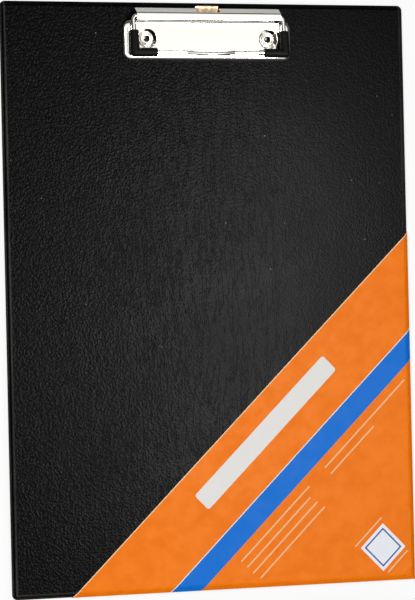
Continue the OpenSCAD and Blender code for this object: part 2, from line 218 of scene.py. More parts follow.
def outward(points, faces):
    # turns the faces round if the volume under them is negative
    volume = sum(np.sum(points[face[:, 0]] * np.cross(points[face[:, k]], points[face[:, k + 1]]))
                 for face in faces for k in range(1, face.shape[1] - 1))
    return faces if volume > 0 else [face[:, ::-1] for face in faces]


def makePiece(name, points, faces, body, nodes, material, sharp=40):
    # mesh object at the origin, riding on its body and standing for its nodes
    faces = outward(points, faces)
    sizes = np.concatenate([np.full(len(face), face.shape[1]) for face in faces])
    corners = np.concatenate([face.ravel() for face in faces])
    mesh = bpy.data.meshes.new(name)
    mesh.vertices.add(len(points))
    mesh.vertices.foreach_set("co", (points * mm).astype(np.float32).ravel())
    mesh.loops.add(len(corners))
    mesh.loops.foreach_set("vertex_index", corners.astype(np.int32))
    mesh.polygons.add(len(sizes))
    mesh.polygons.foreach_set("loop_start", (np.cumsum(sizes) - sizes).astype(np.int32))
    mesh.update(calc_edges=True)
    mesh.validate()
    mesh.shade_smooth()
    mesh.set_sharp_from_angle(angle=np.radians(sharp))
    mesh.materials.append(material)
    piece = bpy.data.objects.new(name, mesh)
    scene.collection.objects.link(piece)
    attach(piece, body)
    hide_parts(*nodes)
    print("made", name, len(mesh.polygons), "faces")
    return piece


# short ways to build shader nodes

def put(tree, kind, settings=None, **links):
    # new node; settings are its own properties, and links give each input a number, a colour or a socket
    node = tree.nodes.new("ShaderNode" + kind)
    for key, value in (settings or {}).items():
        setattr(node, key, value)
    for key, value in links.items():
        socket = node.inputs[int(key[1:])] if key[1:].isdigit() else node.inputs[key.replace("_", " ")]
        if isinstance(value, bpy.types.NodeSocket):
            tree.links.new(value, socket)
        else:
            socket.default_value = value
    return node


def maths(tree, operation, a, b=0.0, c=0.0):
    return put(tree, "Math", {"operation": operation}, i0=a, i1=b, i2=c).outputs[0]


def fade(tree, value, low, high, start=0.0, stop=1.0):
    # smooth step of a value from low to high
    node = put(tree, "MapRange", {"interpolation_type": "SMOOTHSTEP"},
               Value=value, From_Min=low, From_Max=high, To_Min=start, To_Max=stop)
    return node.outputs["Result"]


def paint(tree, under, over, mask):
    # colour over on top of colour under, where the mask is 1
    node = tree.nodes.new("ShaderNodeMix")
    node.data_type = "RGBA"
    for index, value in ((0, mask), (6, under), (7, over)):
        if isinstance(value, bpy.types.NodeSocket):
            tree.links.new(value, node.inputs[index])
        else:
            node.inputs[index].default_value = value
    return node.outputs[2]


def makeGroup(name, inputs, outputs):
    # empty node group; inputs map names to a default number or None for a vector
    group = bpy.data.node_groups.new(name, "ShaderNodeTree")
    for key, value in inputs.items():
        kind = "NodeSocketVector" if value is None else "NodeSocketFloat"
        socket = group.interface.new_socket(key, in_out="INPUT", socket_type=kind)
        if value is not None:
            socket.default_value = value
    for key in outputs:
        group.interface.new_socket(key, in_out="OUTPUT", socket_type="NodeSocketFloat")
    source = group.nodes.new("NodeGroupInput")
    target = group.nodes.new("NodeGroupOutput")
    return group, source.outputs, target.inputs


def useGroup(tree, group, **links):
    node = tree.nodes.new("ShaderNodeGroup")
    node.node_tree = group
    for key, value in links.items():
        if isinstance(value, bpy.types.NodeSocket):
            tree.links.new(value, node.inputs[key])
        else:
            node.inputs[key].default_value = value
    return node.outputs


def newMaterial(name, **values):
    # principled material with its constant sockets set
    material = bpy.data.materials.new(name)
    material.use_nodes = True
    tree = material.node_tree
    shader = tree.nodes["Principled BSDF"]
    for key, value in values.items():
        shader.inputs[key.replace("_", " ")].default_value = value
    return material, tree, shader


def placeInMillimetres(tree):
    # object coordinates in millimetres
    place = put(tree, "TexCoord").outputs["Object"]
    return put(tree, "VectorMath", {"operation": "SCALE"}, i0=place, Scale=1 / mm).outputs[0]


def bumped(tree, shader, height, strength, distance):
    # distance is in metres, as the scene is
    node = put(tree, "Bump", Height=height, Strength=strength, Distance=distance)
    tree.links.new(node.outputs["Normal"], shader.inputs["Normal"])


# node groups that several materials use

def makeGrain():
    # leather pebbles: rounded cells of warped Voronoi, with slanting creases from stretched noise
    group, given, out = makeGroup("leatherGrain", {"Vector": None, "Cell": 1.1, "Creases": 0.5}, ["Height"])
    sway = put(group, "TexNoise", Vector=given["Vector"], Scale=0.35, Detail=2.0)
    swayed = put(group, "VectorMath", {"operation": "MULTIPLY_ADD"},
                 i0=sway.outputs["Color"], i1=(1.6, 1.6, 1.6), i2=given["Vector"])
    size = maths(group, "DIVIDE", 1.0, given["Cell"])
    cells = put(group, "TexVoronoi", {"feature": "SMOOTH_F1"}, Vector=swayed.outputs[0], Scale=size,
                Smoothness=0.35)
    pebble = fade(group, cells.outputs["Distance"], 0.15, 0.75, 1.0, 0.0)
    turned = put(group, "Mapping", Vector=given["Vector"], Rotation=(0, 0, 0.9), Scale=(0.30, 0.045, 0.3))
    streak = put(group, "TexNoise", Vector=turned.outputs[0], Scale=1.0, Detail=3.0, Roughness=0.6)
    ridge = maths(group, "ABSOLUTE", maths(group, "SUBTRACT", streak.outputs["Fac"], 0.5))
    crease = fade(group, ridge, 0.0, 0.03, 1.0, 0.0)
    drop = maths(group, "MULTIPLY", crease, given["Creases"])
    group.links.new(maths(group, "SUBTRACT", pebble, drop), out["Height"])
    return group


def makeDust():
    # scattered specks: only the cells of a Voronoi whose random colour passes the amount, near their centre
    group, given, out = makeGroup("dust", {"Vector": None, "Spacing": 7.0, "Size": 0.16, "Amount": 0.3},
                                  ["Mask"])
    size = maths(group, "DIVIDE", 1.0, given["Spacing"])
    cells = put(group, "TexVoronoi", Vector=given["Vector"], Scale=size)
    chance = put(group, "SeparateColor", Color=cells.outputs["Color"])
    picked = maths(group, "LESS_THAN", chance.outputs[0], given["Amount"])
    spread = maths(group, "MULTIPLY_ADD", chance.outputs[1], 0.6, 0.4)
    reach = maths(group, "MULTIPLY", maths(group, "MULTIPLY", given["Size"], size), spread)
    near = maths(group, "LESS_THAN", cells.outputs["Distance"], reach)
    group.links.new(maths(group, "MULTIPLY", near, picked), out["Mask"])
    return group


def makeScuff():
    # worn metal: soft blotches and fine straight scratches, both from stretched noise
    group, given, out = makeGroup("scuff", {"Vector": None, "Scale": 1.0, "Amount": 0.5},
                                  ["Rough", "Scratch"])
    blotch = put(group, "TexNoise", Vector=given["Vector"], Scale=given["Scale"], Detail=4.0, Roughness=0.6)
    lines = put(group, "Mapping", Vector=given["Vector"], Rotation=(0, 0, 0.2), Scale=(0.12, 3.5, 3.5))
    fine = put(group, "TexNoise", Vector=lines.outputs[0], Scale=given["Scale"], Detail=3.0, Roughness=0.7)
    scratch = fade(group, fine.outputs["Fac"], 0.60, 0.72)
    group.links.new(maths(group, "MULTIPLY", scratch, given["Amount"]), out["Scratch"])
    group.links.new(maths(group, "MULTIPLY", blotch.outputs["Fac"], given["Amount"]), out["Rough"])
    return group


def makeFibre():
    # paper and board: short fibres as stretched noise in two directions, and cloudy formation
    group, given, out = makeGroup("fibre", {"Vector": None, "Scale": 2.0}, ["Height", "Cloud"])
    layers = []
    for turn in (0.5, 2.2):
        lines = put(group, "Mapping", Vector=given["Vector"], Rotation=(0, 0, turn), Scale=(0.4, 2.2, 1.0))
        noise = put(group, "TexNoise", Vector=lines.outputs[0], Scale=given["Scale"], Detail=3.0,
                    Roughness=0.7)
        layers.append(noise.outputs["Fac"])
    cloud = put(group, "TexNoise", Vector=given["Vector"], Scale=0.12, Detail=4.0, Roughness=0.6)
    group.links.new(maths(group, "MAXIMUM", *layers), out["Height"])
    group.links.new(cloud.outputs["Fac"], out["Cloud"])
    return group


def makePrintedBox():
    # mask of a printed box with round corners: the distance from it, turned into ink or no ink
    group, given, out = makeGroup("printedBox", {"Along": 0.0, "Across": 0.0, "Middle Along": 0.0,
                                                 "Middle Across": 0.0, "Half Along": 1.0, "Half Across": 1.0,
                                                 "Corner": 0.0}, ["Mask"])
    apart = []
    for axis in ("Along", "Across"):
        offset = maths(group, "ABSOLUTE", maths(group, "SUBTRACT", given[axis], given["Middle " + axis]))
        inner = maths(group, "SUBTRACT", given["Half " + axis], given["Corner"])
        apart.append(maths(group, "MAXIMUM", maths(group, "SUBTRACT", offset, inner), 0.0))
    square = maths(group, "ADD", maths(group, "MULTIPLY", apart[0], apart[0]),
                   maths(group, "MULTIPLY", apart[1], apart[1]))
    distance = maths(group, "SUBTRACT", maths(group, "SQRT", square), given["Corner"])
    group.links.new(fade(group, distance, -0.05, 0.05, 1.0, 0.0), out["Mask"])
    return group


grain, dust, scuff, fibre, printedBox = makeGrain(), makeDust(), makeScuff(), makeFibre(), makePrintedBox()


# board: core and two vinyl covers

coverLow, coverHigh = millimetres("front_cover")
board = {
    "width": coverHigh[0] - coverLow[0],
    "length": coverHigh[1] - coverLow[1],
    "middleZ": coverLow[2],  # plane where the two covers are welded
    "faceZ": coverHigh[2],
    "lipWidth": 1.2,
    "lipHalf": 0.45,  # half the thickness of the welded lip
    "lipCorner": 3.0,
    "shoulder": 1.6,  # radius of the cover over the core's edge
    "coreInset": 1.8,
    "coreHalf": 1.5,
    "coreEdge": 1.0,
    "gridStep": 4.0,
    "wave": 0.05,  # unevenness of the vinyl
}
halfThick = board["faceZ"] - board["middleZ"]

rivets = {
    "x": 34.5,
    "y": 140.1,
    "shank": 4.0,
    "head": 9.0,
    "headHeight": 0.8,
    "ring": 6.1,  # diameter of the clinched ring
    "squash": 0.6,  # its height as a share of its width
    "hollow": 3.0,
    "gap": 0.1,
    "sections": 48,
}
rivetPlaces = [np.array([side * rivets["x"], rivets["y"]]) for side in (-1, 1)]
holeRadius = rivets["shank"] / 2 + rivets["gap"]


def faceWave(x, y):
    # product of two sines plus a slanting one, faded out at the edges and under the clip
    wave = np.sin(x / 19 + 1.3 * np.sin(y / 47)) * np.sin(y / 27 + 0.7) + 0.6 * np.sin((x - 1.4 * y) / 31)
    fromEdge = np.minimum(board["width"] / 2 - np.abs(x), board["length"] / 2 - np.abs(y))
    return board["wave"] * wave * ease((fromEdge - 3) / 15) * ease((122 - y) / 12)


def makeCover(name, side, node, material):
    # skin over one face: flat, a quarter circle down to the lip, and the lip's own edge; the inner side
    # follows the core. side is 1 in front and -1 behind.
    lip, r = board["lipWidth"], board["shoulder"]
    turn = np.radians(np.linspace(15, 90, 9))
    insets = np.concatenate([[0, 0, 0.12, 0.3, 0.85, 1.08, lip], lip + r * (1 - np.cos(turn)),
                             [board["lipCorner"]]])
    heights = np.concatenate([[0, 0.3, 0.42, 0.45, 0.45, 0.49, 0.64], halfThick - r + r * np.sin(turn),
                              [halfThick]])
    turn = np.radians(np.linspace(0, 90, 9))
    e, top = board["coreEdge"], board["coreHalf"]
    innerInsets = np.concatenate([np.linspace(0, board["coreInset"], 7),
                                  board["coreInset"] + e * (1 - np.cos(turn)), [board["lipCorner"]]])
    innerHeights = np.concatenate([np.zeros(7), top - e + e * np.sin(turn), [top]])

    # squares left out of the grid round the rivets' holes, and the parts of their sides
    patch, parts = 5.0, 8
    endX, endY = board["width"] / 2 - board["lipCorner"], board["length"] / 2 - board["lipCorner"]
    marksX = [(x - patch, x + patch, parts) for x in (-rivets["x"], rivets["x"])]
    marksY = [(rivets["y"] - patch, rivets["y"] + patch, parts)]
    xs = gridLines(-endX, endX, board["gridStep"], marksX)[1:-1]
    ys = gridLines(-endY, endY, board["gridStep"], marksY)[1:-1]

    def skin(insets, heights, wavy):
        X, Y, rings = roundedGrid(board["width"], board["length"], board["lipCorner"], insets, xs, ys)
        Z = heights[rings] + (faceWave(X, Y) if wavy else 0)
        cells = gridFaces(*X.shape)
        flat = np.stack([X, Y, Z], -1).reshape(-1, 3)
        middle = flat[cells].mean(2)
        holes = np.zeros(cells.shape[:2], bool)
        patches = []
        for place in rivetPlaces:
            holes |= np.abs(middle[..., :2] - place).max(-1) < patch
            circles = [(radius, heights[-1]) for radius in (3.6, 2.7, holeRadius)]
            patches.append(ringPatch(place, squareLoop(patch, parts), circles))
        return joined([(flat, cells[~holes])] + patches)

    outer, faces = skin(insets, heights, True)
    inner, _ = skin(innerInsets, innerHeights, False)
    outer, faces, inner = weld(outer, faces, inner)
    points, faces = shell(outer, inner, faces)
    points, faces = weld(points, faces)
    points[:, 2] = board["middleZ"] + side * points[:, 2]
    makePiece(name, points, faces, "board", [node], material)


vinyl = {
    "front": (0.0008, 0.00076, 0.0007, 1),
    "back": (0.0032, 0.0032, 0.0031, 1),
    "creases": (0.5, 0.25),  # share of the slanting creases in front and behind
    "cell": 1.35,  # width of a pebble of the grain
    "relief": 0.14,
    "hollowShade": 0.1,  # shades are multiples of the base colour
    "peakShade": 1.8,
    "litPeakShade": 4,
    "rubbedHighlightShade": 45,
    "litPeakReach": (-110, 10),  # x over which the painted highlight on the peaks fades out
    "flatReach": (-70, 70),  # x over which the grain flattens
    "flat": 0.35,  # share of the relief that is left there
    "shoulder": (1.5, 2.1, 2.5, 3.1),  # distances from the edge between which the shoulder is painted paler, as rubbed wear and a painted highlight
    "lip": (0.7, 1.1),
    "dustColour": (0.14, 0.14, 0.13, 1),
}


def vinylMaterial(name, tint, creases):
    # black vinyl: pebbled leather grain, slanting creases, specks of dust, and a paler shoulder that is
    # rubbed wear plus a painted highlight
    material, tree, shader = newMaterial(name, Specular_IOR_Level=0.03)
    place = placeInMillimetres(tree)
    height = useGroup(tree, grain, Vector=place, Cell=vinyl["cell"], Creases=creases)["Height"]
    specks = useGroup(tree, dust, Vector=place, Spacing=8.0, Size=0.42, Amount=0.4)["Mask"]
    cloud = put(tree, "TexNoise", Vector=place, Scale=0.02, Detail=3.0).outputs["Fac"]
    axes = put(tree, "SeparateXYZ", Vector=place).outputs
    fromSide = maths(tree, "SUBTRACT", board["width"] / 2, maths(tree, "ABSOLUTE", axes[0]))
    # the end with the clip gets neither the rubbed wear nor the painted highlight
    fromEnd = maths(tree, "ADD", axes[1], board["length"] / 2)
    fromEdge = maths(tree, "MINIMUM", fromSide, fromEnd)
    # paler bands on the shoulder and the lip: rubbed wear and a painted highlight; the same mask also lowers
    # the roughness
    shoulder = maths(tree, "MULTIPLY", fade(tree, fromEdge, *vinyl["shoulder"][:2]),
                     fade(tree, fromEdge, *vinyl["shoulder"][2:], 1.0, 0.0))
    lip = fade(tree, fromEdge, *vinyl["lip"], 1.0, 0.0)
    worn = maths(tree, "MAXIMUM", shoulder, maths(tree, "MULTIPLY", lip, 0.6))
    rubbedAndHighlit = maths(tree, "MULTIPLY", worn, fade(tree, cloud, 0.35, 0.7, 0.5, 1.0))

    def shade(key):
        return [vinyl[key] * value for value in tint[:3]] + [1]

    # painted highlight: the peaks of the grain are painted greyer towards the left edge
    # the hollows of the grain are painted darker than its peaks: partly the grain's own tone, partly painted
    # shade in the recesses
    colour = paint(tree, shade("hollowShade"), shade("peakShade"), fade(tree, height, 0.2, 0.9))
    litPeaks = maths(tree, "MULTIPLY", fade(tree, height, 0.55, 0.95),
                   fade(tree, axes[0], *vinyl["litPeakReach"], 1.0, 0.0))
    colour = paint(tree, colour, shade("litPeakShade"), litPeaks)
    colour = paint(tree, colour, shade("rubbedHighlightShade"), rubbedAndHighlit)
    tree.links.new(paint(tree, colour, vinyl["dustColour"], specks), shader.inputs["Base Color"])
    tree.links.new(maths(tree, "MULTIPLY_ADD", worn, -0.10, fade(tree, cloud, 0.3, 0.7, 0.28, 0.32)),
                   shader.inputs["Roughness"])
    # flatter grain towards the right edge
    relief = maths(tree, "MULTIPLY", height, fade(tree, axes[0], *vinyl["flatReach"], 1.0, vinyl["flat"]))
    bumped(tree, shader, relief, 0.6, vinyl["relief"] * mm)
    return material


def coreMaterial():
    # grey board: cloudy brown-grey with fibres
    material, tree, shader = newMaterial("greyboard", Specular_IOR_Level=0.2, Roughness=0.9)
    marks = useGroup(tree, fibre, Vector=placeInMillimetres(tree), Scale=1.4)
    colour = paint(tree, (0.40, 0.34, 0.25, 1), (0.24, 0.20, 0.15, 1),
                   fade(tree, marks["Cloud"], 0.35, 0.65))
    tree.links.new(colour, shader.inputs["Base Color"])
    bumped(tree, shader, marks["Height"], 0.5, 0.0002)
    return material


makeCover("frontCover", 1, "front_cover",
          vinylMaterial("vinylFront", vinyl["front"], vinyl["creases"][0]))
makeCover("backCover", -1, "back_cover",
          vinylMaterial("vinylBack", vinyl["back"], vinyl["creases"][1]))
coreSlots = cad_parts["core_board"].data.materials
coreSlots.clear()
coreSlots.append(coreMaterial())
print("board done")


# clip plate and its two rivets

plate = {
    "width": 95.4,
    "length": 21.4,
    "front": 128.6,
    "height": 2.8,
    "corner": 4.2,
    "edge": 1.6,  # drop of the rolled edges
    "roll": 4.0,  # and how far in from the edge they start
    "sheet": 0.7,
    "ridgeLength": 82.0,
    "ridgeFront": 148.8,
    "ridgeBack": 156.8,
    "crownDepth": 4.0,
    "lean": 0.9,
    "foot": 1.9,
    "bends": (0.8, 1.2, 1.5, 1.1),  # at the root, both edges of the crown and the foot
    "groove": (0.3, 0.06),  # half width and depth of the groove along the crown
    "grooveBend": 0.15,
    "notchWidth": 13.7,
    "notchDrop": 1.0,  # from the crown down to the notch
    "dishTop": 10.6,
    "dishFloor": 6.4,
    "dishBends": (0.6, 0.2),
    "dishPatch": 5.68,  # half of the square that is left out of the grid for a dish
    "saddleX": 25.0,
    "saddleWidth": 6.0,
}
trayZ = board["faceZ"] + plate["height"]
floorZ = board["faceZ"] + plate["sheet"]

bail = {
    "wire": 2.4,
    "span": 85.2,  # between the middles of the legs
    "reach": 20.3,
    "axleBend": 2.4,
    "barBend": 1.5,
    "endX": 9.0,
    "bowWidth": 28.0,
    "bowHeight": 2.2,
    "bowLean": 30.0,
    "bowBend": 5.0,
    "bowRamp": 3.0,
    "saddleGap": 0.15,
    "crownGap": 0.3,
    "sections": 28,
}
sleeve = {
    "outer": 5.0,
    "arm": 14.6,  # from the outer corner
    "round": 0.5,
    "fit": 0.05,
    "gap": 0.2,  # to the tray, at the inner end of the side arm
    "sections": 40,
}
axleZ = trayZ + bail["saddleGap"] + bail["wire"] / 2
crownZ = axleZ + bail["wire"] / 2 + bail["crownGap"] + plate["sheet"]


def ridgeLine():
    # section of the ridge from the tray over the crown to the foot, as (y, z) with round bends
    back = plate["front"] + plate["length"]
    crownFront = plate["ridgeFront"] + plate["lean"]
    middle = crownFront + plate["crownDepth"] / 2
    reach, depth = plate["groove"]
    corners = [(back - plate["roll"], trayZ), (plate["ridgeFront"], trayZ), (crownFront, crownZ),
               (middle - reach, crownZ), (middle, crownZ - depth), (middle + reach, crownZ),
               (crownFront + plate["crownDepth"], crownZ),
               (plate["ridgeBack"], board["faceZ"] + plate["foot"]), (plate["ridgeBack"], board["faceZ"])]
    root, front, rear, foot = plate["bends"]
    path = roundedPath(corners, [root, front] + [plate["grooveBend"]] * 3 + [rear, foot], 8)
    # one more point where the notch is cut out of the sloping back
    cut = crownZ - plate["notchDrop"]
    before = np.nonzero((path[:-1, 1] > cut) & (path[1:, 1] < cut))[0][-1]
    share = (path[before, 1] - cut) / (path[before, 1] - path[before + 1, 1])
    point = path[before] + share * (path[before + 1] - path[before])
    return np.insert(path, before + 1, point, axis=0), before + 1


def makePlate(material):
    # one pressed sheet: tray with rolled edges and two round dishes, running on into the ridge
    roll, drop, h = plate["roll"], plate["edge"], plate["height"]
    turn = np.radians(np.arange(10, 91, 10))
    insets = np.concatenate([[0, 0], roll * (1 - np.cos(turn)), [plate["corner"]]])
    heights = np.concatenate([[0, h - drop], h - drop + drop * np.sin(turn), [h]])
    half, parts = plate["dishPatch"], 12
    ridgeHalf, notchHalf = plate["ridgeLength"] / 2, plate["notchWidth"] / 2
    middleY = plate["front"] + plate["length"] / 2
    endX, endY = plate["width"] / 2 - plate["corner"], plate["length"] / 2 - plate["corner"]
    marksX = [(-ridgeHalf, -rivets["x"] - half, 1), (-notchHalf, notchHalf, 4),
              (rivets["x"] + half, ridgeHalf, 1)]
    marksX += [(x - half, x + half, parts) for x in (-rivets["x"], rivets["x"])]
    marksY = [(rivets["y"] - middleY - half, rivets["y"] - middleY + half, parts)]
    xs, ys = gridLines(-endX, endX, 3.0, marksX)[1:-1], gridLines(-endY, endY, 2.0, marksY)[1:-1]
    X, Y, rings = roundedGrid(plate["width"], plate["length"], plate["corner"], insets, xs, ys)
    Y = Y + middleY
    tray = np.stack([X, Y, board["faceZ"] + heights[rings]], -1).reshape(-1, 3)
    cells = gridFaces(*X.shape)
    middle = tray[cells].mean(2)
    underRidge = np.abs(middle[..., 0]) < ridgeHalf
    gone = underRidge & (middle[..., 1] > plate["front"] + plate["length"] - roll)
    dishLine = roundedPath([(half - 0.03, trayZ), (plate["dishTop"] / 2, trayZ),
                            (plate["dishFloor"] / 2, floorZ), (holeRadius, floorZ)], plate["dishBends"])
    patches = []
    for place in rivetPlaces:
        gone |= np.abs(middle[..., :2] - place).max(-1) < half
        patches.append(ringPatch(place, squareLoop(half, parts), dishLine))

    path, cut = ridgeLine()
    columns = X[X.shape[0] // 2]
    columns = columns[np.abs(columns) < ridgeHalf + 0.01]
    ridge = np.stack([np.broadcast_to(columns, (len(path), len(columns))),
                      np.broadcast_to(path[:, :1], (len(path), len(columns))),
                      np.broadcast_to(path[:, 1:], (len(path), len(columns)))], -1)
    ridgeCells = gridFaces(len(path), len(columns))
    between = np.abs(columns[:-1] + columns[1:]) / 2 < notchHalf
    below = np.arange(len(path) - 1) >= cut
    patches.append((ridge.reshape(-1, 3), ridgeCells[~(between[None] & below[:, None])]))

    # saddles: tongues under the wire that dip a little at their free end
    tongueY = np.linspace(plate["ridgeFront"] + 0.4, plate["ridgeBack"] - 2 * plate["sheet"], 9)
    dip = 0.5 * ease((tongueY - tongueY[-3]) / (tongueY[-1] - tongueY[-3]))
    for side in (-1, 1):
        tongueX = side * plate["saddleX"] + plate["saddleWidth"] * np.linspace(-0.5, 0.5, 5)
        tongue = np.stack(np.broadcast_arrays(tongueX[None], tongueY[:, None], (trayZ - dip)[:, None]), -1)
        patches.append((tongue.reshape(-1, 3), gridFaces(9, 5)))

    outer, faces = joined([(tray, cells[~gone])] + patches)
    outer, faces = weld(outer, faces)
    inner = outer - plate["sheet"] * pointNormals(outer, faces)
    points, faces = shell(outer, inner, faces)
    makePiece("clipPlate", points, faces, "board", ["clip_base_plate"], material, 35)


def chromeMaterial(name, tint, roughness, amount):
    # bright plating: faint blotches in the roughness and hairline scratches
    material, tree, shader = newMaterial(name, Metallic=1.0)
    marks = useGroup(tree, scuff, Vector=placeInMillimetres(tree), Scale=0.8, Amount=amount)
    dull = [0.86 * value for value in tint[:3]] + [1]
    tree.links.new(paint(tree, tint, dull, marks["Scratch"]), shader.inputs["Base Color"])
    spread = maths(tree, "ADD", maths(tree, "MULTIPLY", marks["Rough"], 0.10), roughness)
    tree.links.new(maths(tree, "MULTIPLY_ADD", marks["Scratch"], 0.12, spread), shader.inputs["Roughness"])
    bumped(tree, shader, marks["Scratch"], 0.15, 0.00002)
    return material


makePlate(chromeMaterial("plateChrome", (0.95, 0.93, 0.86, 1), 0.045, 0.35))


def makeRivet(name, place, node, material):
    # turned profile: rounded head behind, shank, and the end rolled over into a ring round its hollow
    head, t = rivets["head"] / 2, rivets["headHeight"]
    roll = (rivets["ring"] - rivets["hollow"]) / 4
    ringX, ringZ = rivets["ring"] / 2 - roll, floorZ + rivets["squash"] * roll
    quarter = np.radians(np.linspace(0, 90, 7))[:, None]
    over = np.radians(np.linspace(-90, 180, 19))[:, None]
    profile = np.concatenate([
        [(0, 0)],
        np.hstack([head - t + t * np.sin(quarter), t - t * np.cos(quarter)]),
        [(rivets["shank"] / 2, t), (rivets["shank"] / 2, floorZ)],
        np.hstack([ringX + roll * np.cos(over), ringZ + rivets["squash"] * roll * np.sin(over)]),
        [(rivets["hollow"] / 2, board["middleZ"] + 0.5), (0, board["middleZ"])]])
    points, faces = revolve(profile, place, rivets["sections"])
    # the rolled ring is a little lumpy: three slow waves round it
    offset = points[:, :2] - place
    angle, radius = np.arctan2(offset[:, 1], offset[:, 0]), np.linalg.norm(offset, axis=1)
    lump = ease((points[:, 2] - ringZ) / roll) * ease(radius / ringX)
    points[:, 2] -= 0.07 * lump * (1 + np.sin(3 * angle + place[0])) / 2
    points, faces = weld(points, faces)
    makePiece(name, points, faces, "board", [node], material, 50)


def rivetMaterial():
    # plated like the clip, with painted shade inside the hollow, which is painted near black
    material, tree, shader = newMaterial("rivetSteel", Metallic=1.0)
    place = placeInMillimetres(tree)
    marks = useGroup(tree, scuff, Vector=place, Scale=0.8, Amount=0.8)
    x, y, z = put(tree, "SeparateXYZ", Vector=place).outputs[:3]
    offX = maths(tree, "SUBTRACT", maths(tree, "ABSOLUTE", x), rivets["x"])
    offY = maths(tree, "SUBTRACT", y, rivets["y"])
    square = maths(tree, "MULTIPLY_ADD", offX, offX, maths(tree, "MULTIPLY", offY, offY))
    reach = rivets["hollow"] / 2
    inside = fade(tree, maths(tree, "SQRT", square), reach + 0.02, reach + 0.12, 1.0, 0.0)
    hollow = maths(tree, "MULTIPLY", inside, fade(tree, z, board["middleZ"] - 0.5, board["middleZ"] - 0.2))
    plated = paint(tree, (0.88, 0.86, 0.82, 1), (0.62, 0.60, 0.56, 1), marks["Scratch"])
    # painted shade: the inside of the hollow is painted near black
    tree.links.new(paint(tree, plated, (0.035, 0.032, 0.028, 1), hollow), shader.inputs["Base Color"])
    tree.links.new(maths(tree, "MULTIPLY_ADD", marks["Rough"], 0.10, 0.08), shader.inputs["Roughness"])
    bumped(tree, shader, marks["Scratch"], 0.15, 0.00002)
    return material


rivetSteel = rivetMaterial()
makeRivet("rivetLeft", rivetPlaces[0], "rivet_left", rivetSteel)
makeRivet("rivetRight", rivetPlaces[1], "rivet_right", rivetSteel)
print("clip plate and rivets done")


# wire bail and its rubber sleeves

# the bail leans down until the inner end of the sleeve's side arm lies a gap above the tray
sleeveIn = bail["reach"] + sleeve["outer"] / 2 - sleeve["arm"] + sleeve["round"]
clear = bail["wire"] / 2 + bail["saddleGap"] - sleeve["gap"]
slope = (np.arctan(sleeve["outer"] / 2 / sleeveIn)
         - np.arcsin(clear / np.hypot(sleeveIn, sleeve["outer"] / 2)))


def axlePlace():
    # the axle lies midway between the ridge's two walls at its own height
    footZ = board["faceZ"] + plate["foot"]
    crownFront = plate["ridgeFront"] + plate["lean"]
    front = np.interp(axleZ, [trayZ, crownZ], [plate["ridgeFront"], crownFront])
    back = np.interp(axleZ, [footZ, crownZ], [plate["ridgeBack"], crownFront + plate["crownDepth"]])
    return (front + back) / 2


axleY = axlePlace()


def fromBailPlane(points):
    # x along the axle, y from the axle towards the bar, z out of the bail's plane
    x, y, z = points[..., 0], points[..., 1], points[..., 2]
    return np.stack([x, axleY - y * np.cos(slope) + z * np.sin(slope),
                     axleZ + y * np.sin(slope) + z * np.cos(slope)], -1)


def makeBail(material):
    # round wire along one path: axle end, leg, bar, and the bow made of two bends, ramps and a crown arc
    legX, reach = bail["span"] / 2, bail["reach"]
    flat = roundedPath([(bail["endX"], 0), (legX, 0), (legX, reach), (bail["bowWidth"] / 2 + 2, reach)],
                       [bail["axleBend"], bail["barBend"]], 12)
    flat = np.hstack([flat, np.zeros((len(flat), 1))])
    half, h, ramp = bail["bowWidth"] / 2, bail["bowHeight"], bail["bowRamp"]
    bothRadii = (half ** 2 + h ** 2 - ramp ** 2) / (2 * h)
    crown = bothRadii - bail["bowBend"]
    turn = np.arctan2(half, bothRadii - h) - np.arctan(ramp / bothRadii)
    a = -np.pi / 2 - np.linspace(0, turn, 7)
    b = np.pi / 2 - turn + np.linspace(0, turn, 13)
    bowX = np.concatenate([half + bail["bowBend"] * np.cos(a), crown * np.cos(b)])
    bowUp = np.concatenate([bail["bowBend"] * (1 + np.sin(a)), h - crown + crown * np.sin(b)])
    lean = np.radians(bail["bowLean"])
    bow = np.stack([bowX, reach + bowUp * np.sin(lean), bowUp * np.cos(lean)], 1)
    right = np.concatenate([flat, bow])
    path = np.concatenate([right, (right * [-1, 1, 1])[-2::-1]])
    # the two cut ends are flat with a small chamfer
    edge = 0.2
    inward = np.array([edge, 0, 0])
    path = np.concatenate([path[:1], path[:1], path[:1] + inward, path[1:-1],
                           path[-1:] - inward, path[-1:], path[-1:]])
    radii = np.full(len(path), bail["wire"] / 2)
    radii[[0, -1]] = 0
    radii[[1, -2]] -= edge
    # the axle end's first points share one direction, so nudge them apart along it
    path[0, 0] -= 1e-6
    path[-1, 0] += 1e-6
    upright = np.array([0, np.sin(slope), np.cos(slope)])
    points, faces = sweep(fromBailPlane(path), radii, bail["sections"], upright)
    points, faces = weld(points, faces)
    makePiece("wireBail", points, faces, "bail", ["wire_bail"], material, 60)


